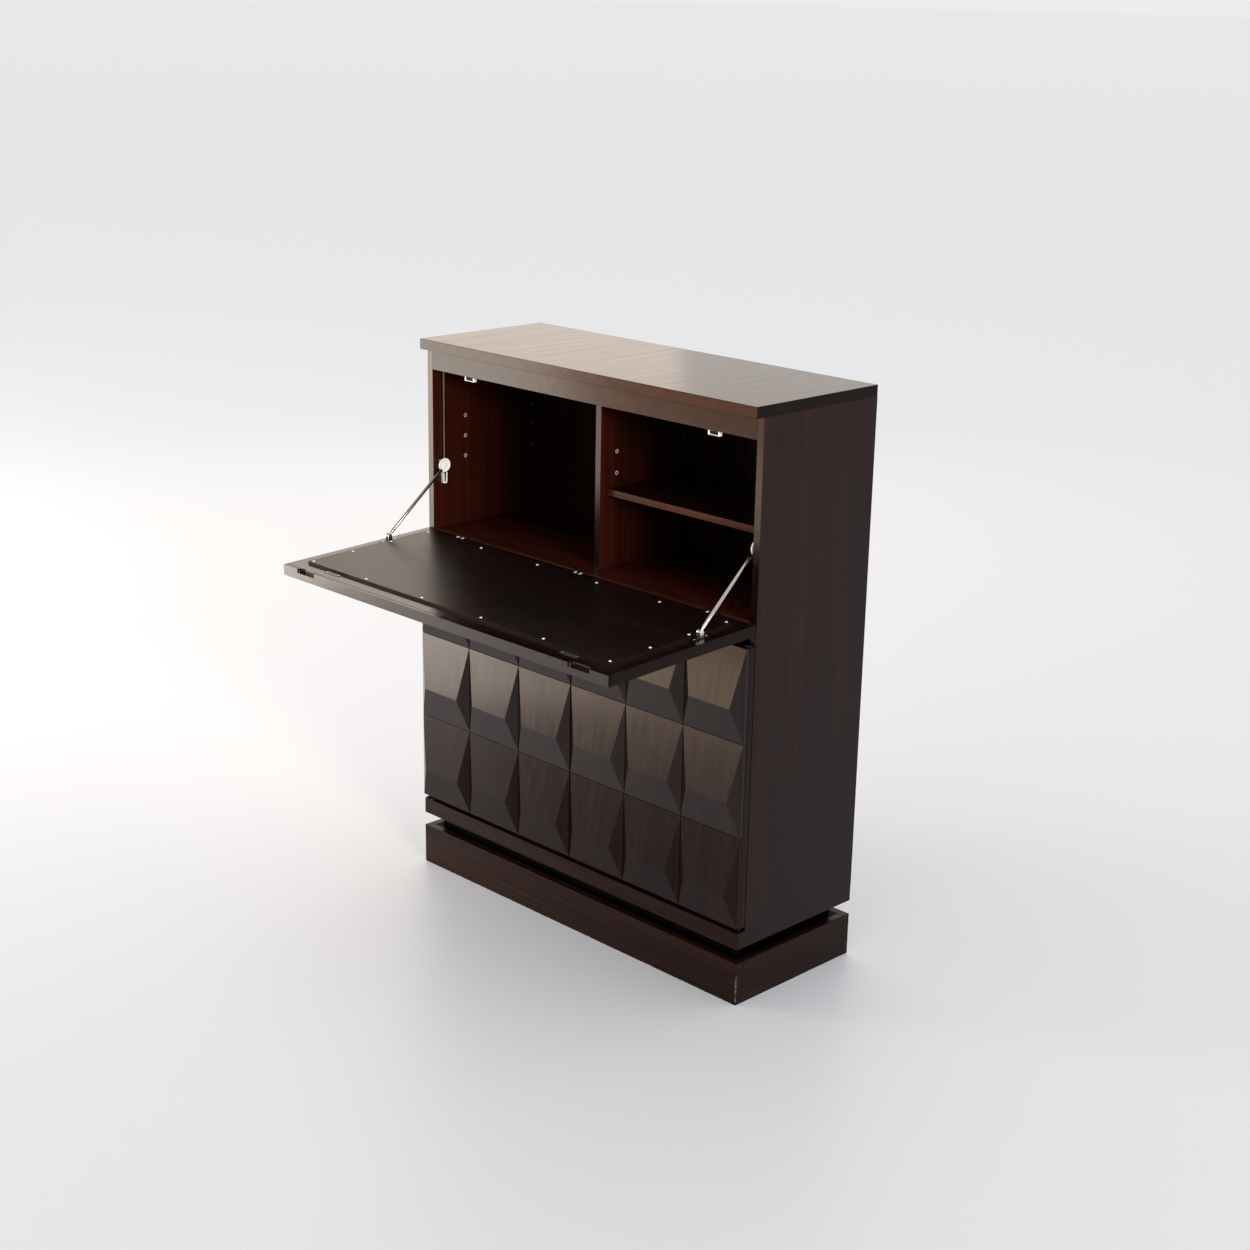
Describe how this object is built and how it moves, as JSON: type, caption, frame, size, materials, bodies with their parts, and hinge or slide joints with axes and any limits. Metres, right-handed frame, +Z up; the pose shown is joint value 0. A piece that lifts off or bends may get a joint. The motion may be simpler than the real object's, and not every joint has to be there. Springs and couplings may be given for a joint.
{
  "type": "bar cabinet",
  "caption": "Tall dark veneered bar cabinet on a plinth, with a drop flap on stays over a shelved compartment and two relief-block doors below.",
  "frame": {"origin": "on the floor under the middle of the plinth", "axes": "+Z up, +Y towards the back, +X to the right seen from the front"},
  "size_m": [1.118, 0.8322, 1.4],
  "materials": {
    "outer_veneer": "very dark stained veneer under glossy lacquer",
    "inner_wood": "reddish-brown veneer under glossy lacquer",
    "edge_wood": "lighter solid wood, lacquered",
    "bright_nickel": "bright nickel plate",
    "brass": "polished brass",
    "off_white_plastic": "off-white moulded plastic",
    "magnet": "dark sintered magnet"
  },
  "bodies": {
    "carcass": {"plinth_front": "outer_veneer", "plinth_back": "outer_veneer", "plinth_left": "outer_veneer", "plinth_right": "outer_veneer", "plinth_brace": "edge_wood", "plinth_top_panel": "outer_veneer", "plinth_corner_blocks": "edge_wood", "neck_long_boards": "outer_veneer", "neck_short_boards": "outer_veneer", "base_board": "outer_veneer", "left_side": "outer_veneer", "right_side": "outer_veneer", "top_board": "outer_veneer", "top_rail": "outer_veneer", "compartment_floor": "inner_wood", "floor_edge_strip": "edge_wood", "compartment_divider": "inner_wood", "upper_back_panel": "inner_wood", "lower_back_panel": "inner_wood", "back_panel_screws": "bright_nickel", "upper_shelf": "inner_wood", "upper_shelf_pins": "bright_nickel", "shelf_hole_bushes": "bright_nickel", "lower_partition": "inner_wood", "lower_left_shelf": "inner_wood", "lower_right_shelf": "inner_wood", "lower_shelf_pins": "bright_nickel", "floor_hinge_leaves": "brass", "flap_hinge_pins": "brass", "stay_rods": "bright_nickel", "stay_rod_holders": "bright_nickel", "flap_catch_housings": "off_white_plastic", "flap_catch_magnets": "magnet", "door_catch_housings": "off_white_plastic", "door_catch_magnets": "magnet", "door_pivot_brackets": "brass", "door_pivot_pins": "brass"},
    "flap": {"flap_panel": "outer_veneer", "flap_liner": "inner_wood", "liner_screws": "bright_nickel", "flap_strike_plates": "bright_nickel", "flap_hinge_leaves": "brass", "flap_stay_feet": "bright_nickel", "stay_foot_pins": "bright_nickel"},
    "left_stay_arm": {"left_stay_arm": "bright_nickel"},
    "right_stay_arm": {"right_stay_arm": "bright_nickel"},
    "left_slider": {"left_stay_slider": "off_white_plastic"},
    "right_slider": {"right_stay_slider": "off_white_plastic"},
    "left_door": {"left_door_panel": "outer_veneer", "left_door_blocks": "outer_veneer", "left_door_strike": "bright_nickel", "left_door_pivot_cups": "brass"},
    "right_door": {"right_door_panel": "outer_veneer", "right_door_blocks": "outer_veneer", "right_door_strike": "bright_nickel", "right_door_pivot_cups": "brass"}
  },
  "joints": [
    {"name": "flap_hinge", "type": "hinge", "parent": "carcass", "child": "flap", "pos_m": [0, -0.1795, 0.915], "axis": [-1, 0, 0], "range_deg": [0, 92]},
    {"name": "left_stay_pivot", "type": "hinge", "parent": "flap", "child": "left_stay_arm", "pos_m": [-0.5211, -0.3299, 0.92376], "axis": [-1, 0, 0], "range_deg": [-138, 0]},
    {"name": "right_stay_pivot", "type": "hinge", "parent": "flap", "child": "right_stay_arm", "pos_m": [0.5211, -0.3299, 0.92376], "axis": [-1, 0, 0], "range_deg": [-138, 0]},
    {"name": "left_slider_travel", "type": "slide", "parent": "carcass", "child": "left_slider", "axis": [0, 0, 1], "range_m": [0, 0.2223]},
    {"name": "right_slider_travel", "type": "slide", "parent": "carcass", "child": "right_slider", "axis": [0, 0, 1], "range_m": [0, 0.2223]},
    {"name": "left_door_hinge", "type": "hinge", "parent": "carcass", "child": "left_door", "pos_m": [-0.553, -0.191, 0.5285], "axis": [0, 0, -1], "range_deg": [0, 110]},
    {"name": "right_door_hinge", "type": "hinge", "parent": "carcass", "child": "right_door", "pos_m": [0.553, -0.191, 0.5285], "axis": [0, 0, 1], "range_deg": [0, 110]}
  ],
  "couplings": [
    {"joint": "left_stay_pivot", "follows": "flap_hinge", "ratio": -1.4977},
    {"joint": "right_stay_pivot", "follows": "flap_hinge", "ratio": -1.4977},
    {"joint": "left_slider_travel", "follows": "flap_hinge", "m_per_rad": 0.1383},
    {"joint": "right_slider_travel", "follows": "flap_hinge", "m_per_rad": 0.1383}
  ]
}
